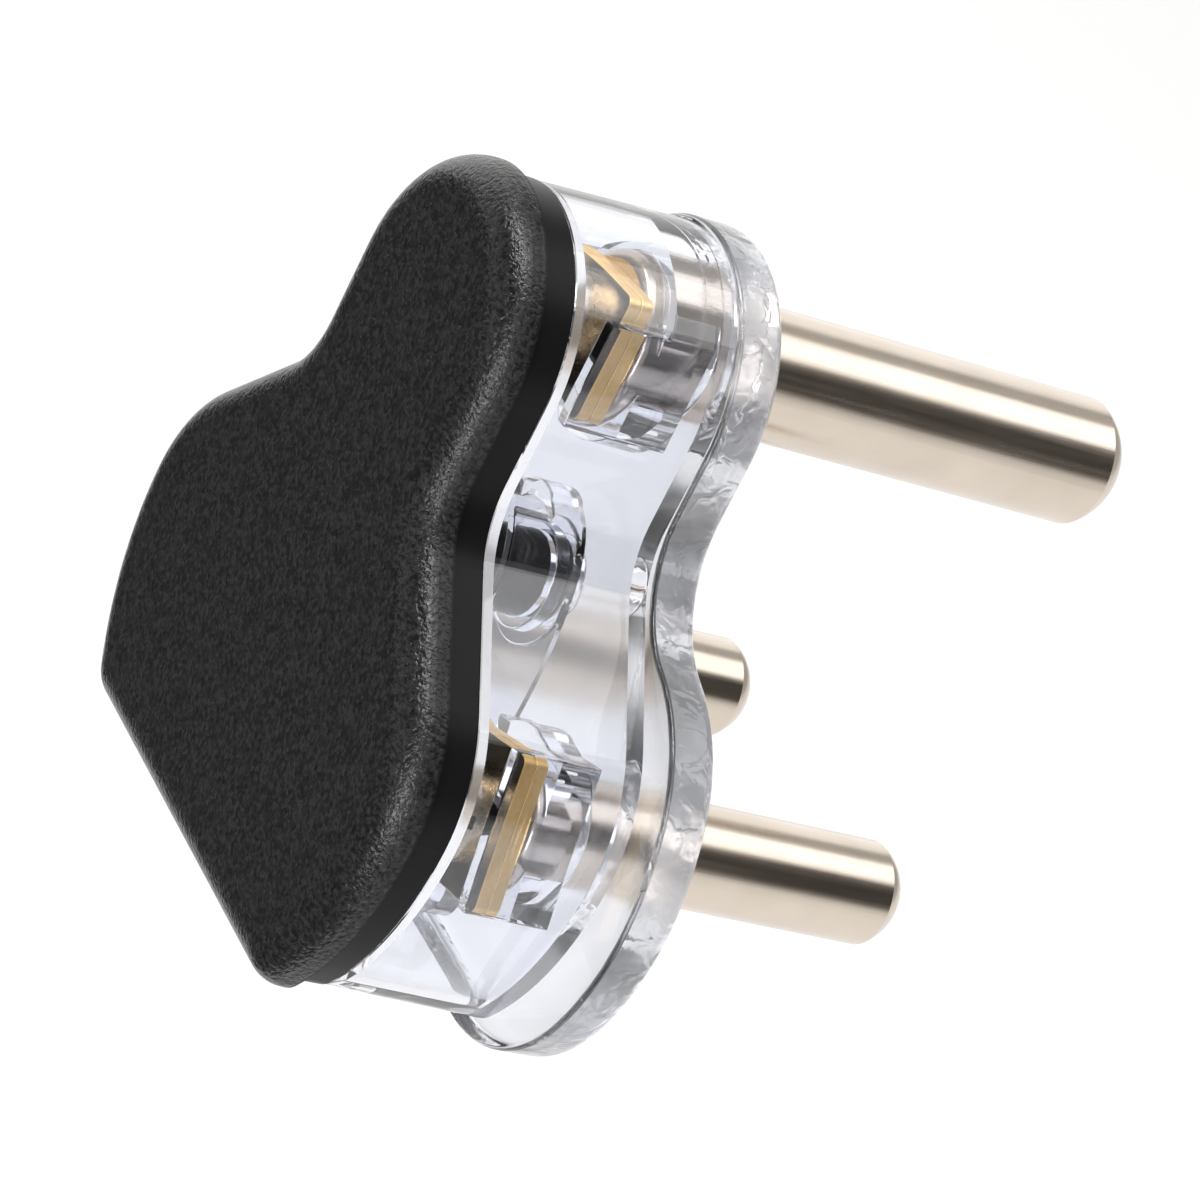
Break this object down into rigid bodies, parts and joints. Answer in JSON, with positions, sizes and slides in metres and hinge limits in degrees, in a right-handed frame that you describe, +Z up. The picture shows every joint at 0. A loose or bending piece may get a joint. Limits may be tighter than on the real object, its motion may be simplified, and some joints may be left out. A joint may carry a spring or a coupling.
{
  "type": "three pin plug",
  "caption": "Rewirable mains plug with round pins, a clear base, a black screw-on cover and a cord inlet in its flat bottom edge.",
  "frame": {"origin": "on the face that meets the socket, midway between the live and neutral pins", "axes": "+Y along the pins into the socket, +Z up towards the earth pin, +X right as seen from the cover, which is the live side"},
  "size_m": [0.0526, 0.0539, 0.0512],
  "materials": {
    "clear_plastic": "clear polycarbonate, polished",
    "black_moulding": "fine leather grain on the cap, smooth on the skirt",
    "plated_pin": "turned brass, nickel plated",
    "raw_brass": "sheared, unplated edges",
    "zinc_steel": "zinc plated",
    "dark_steel": "blackened"
  },
  "bodies": {
    "root": {"base": "clear_plastic", "cord_grip": "clear_plastic", "cover": "black_moulding", "earth_pin": "plated_pin", "live_pin": "plated_pin", "neutral_pin": "plated_pin", "earth_terminal_plate": "raw_brass", "live_terminal_plate": "raw_brass", "neutral_terminal_plate": "raw_brass", "earth_clamp_plate": "raw_brass", "live_clamp_plate": "raw_brass", "neutral_clamp_plate": "raw_brass", "earth_terminal_screw": "zinc_steel", "live_terminal_screw": "zinc_steel", "neutral_terminal_screw": "zinc_steel", "cover_screw": "dark_steel", "cord_grip_screw_right": "zinc_steel", "cord_grip_screw_left": "zinc_steel"}
  },
  "joints": []
}
